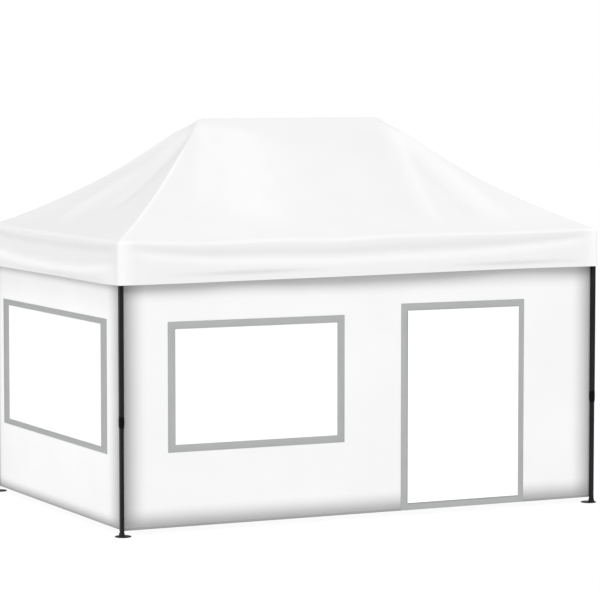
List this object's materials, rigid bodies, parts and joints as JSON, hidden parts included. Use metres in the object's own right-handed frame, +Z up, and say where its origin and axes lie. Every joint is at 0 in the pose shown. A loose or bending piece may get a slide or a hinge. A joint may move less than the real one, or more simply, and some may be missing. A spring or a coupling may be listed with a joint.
{
  "type": "pop-up marquee with side walls",
  "caption": "Pop-up marquee with hip roof, valances, windowed side walls, a door flap and telescopic legs, for shelter at events",
  "frame": {"origin": "on the floor, under the middle of the roof", "axes": "+X along the long side to the right as seen from the door side, +Y from the door side to the back, +Z up"},
  "size_m": [4.566, 3.066, 3.38],
  "materials": {
    "canopy_fabric": "matt white coated polyester",
    "wall_fabric": "matt white coated polyester",
    "band_fabric": "matt grey webbing",
    "window_film": "smooth milky film",
    "black_steel": "black powder coat",
    "black_plastic": "black moulded nylon"
  },
  "bodies": {
    "marquee_frame": {"leg_upper_front_left": "black_steel", "leg_upper_front_right": "black_steel", "leg_upper_back_left": "black_steel", "leg_upper_back_right": "black_steel", "leg_latch_front_left": "black_plastic", "leg_latch_front_right": "black_plastic", "leg_latch_back_left": "black_plastic", "leg_latch_back_right": "black_plastic", "corner_bracket_front_left": "black_plastic", "corner_bracket_front_right": "black_plastic", "corner_bracket_back_left": "black_plastic", "corner_bracket_back_right": "black_plastic", "truss_front_left": "black_steel", "truss_front_middle": "black_steel", "truss_front_right": "black_steel", "truss_back_left": "black_steel", "truss_back_middle": "black_steel", "truss_back_right": "black_steel", "truss_left_front": "black_steel", "truss_left_back": "black_steel", "truss_right_front": "black_steel", "truss_right_back": "black_steel", "cross_truss_left": "black_steel", "cross_truss_right": "black_steel", "peak_post_left": "black_steel", "peak_post_right": "black_steel", "ridge_bar": "black_steel", "canopy_roof": "canopy_fabric", "valance_front": "canopy_fabric", "valance_back": "canopy_fabric", "valance_left": "canopy_fabric", "valance_right": "canopy_fabric", "front_wall_left": "wall_fabric", "front_wall_right": "wall_fabric", "front_wall_over_door": "wall_fabric", "back_wall": "wall_fabric", "left_wall": "wall_fabric", "right_wall": "wall_fabric", "front_window_frame": "band_fabric", "left_window_frame": "band_fabric", "right_window_frame": "band_fabric", "front_window_film": "window_film", "left_window_film": "window_film", "right_window_film": "window_film", "door_frame": "band_fabric"},
    "front_left_leg": {"leg_lower_front_left": "black_steel", "foot_plate_front_left": "black_steel"},
    "front_right_leg": {"leg_lower_front_right": "black_steel", "foot_plate_front_right": "black_steel"},
    "back_left_leg": {"leg_lower_back_left": "black_steel", "foot_plate_back_left": "black_steel"},
    "back_right_leg": {"leg_lower_back_right": "black_steel", "foot_plate_back_right": "black_steel"},
    "door": {"door_leaf": "window_film"}
  },
  "joints": [
    {"name": "door_hinge", "type": "hinge", "parent": "marquee_frame", "child": "door", "pos_m": [1.488, -1.4702, 0], "axis": [0, 0, 1], "range_deg": [0, 105]},
    {"name": "front_left_leg_slide", "type": "slide", "parent": "marquee_frame", "child": "front_left_leg", "axis": [0, 0, -1], "range_m": [0, 0.15]},
    {"name": "front_right_leg_slide", "type": "slide", "parent": "marquee_frame", "child": "front_right_leg", "axis": [0, 0, -1], "range_m": [0, 0.15]},
    {"name": "back_left_leg_slide", "type": "slide", "parent": "marquee_frame", "child": "back_left_leg", "axis": [0, 0, -1], "range_m": [0, 0.15]},
    {"name": "back_right_leg_slide", "type": "slide", "parent": "marquee_frame", "child": "back_right_leg", "axis": [0, 0, -1], "range_m": [0, 0.15]}
  ]
}
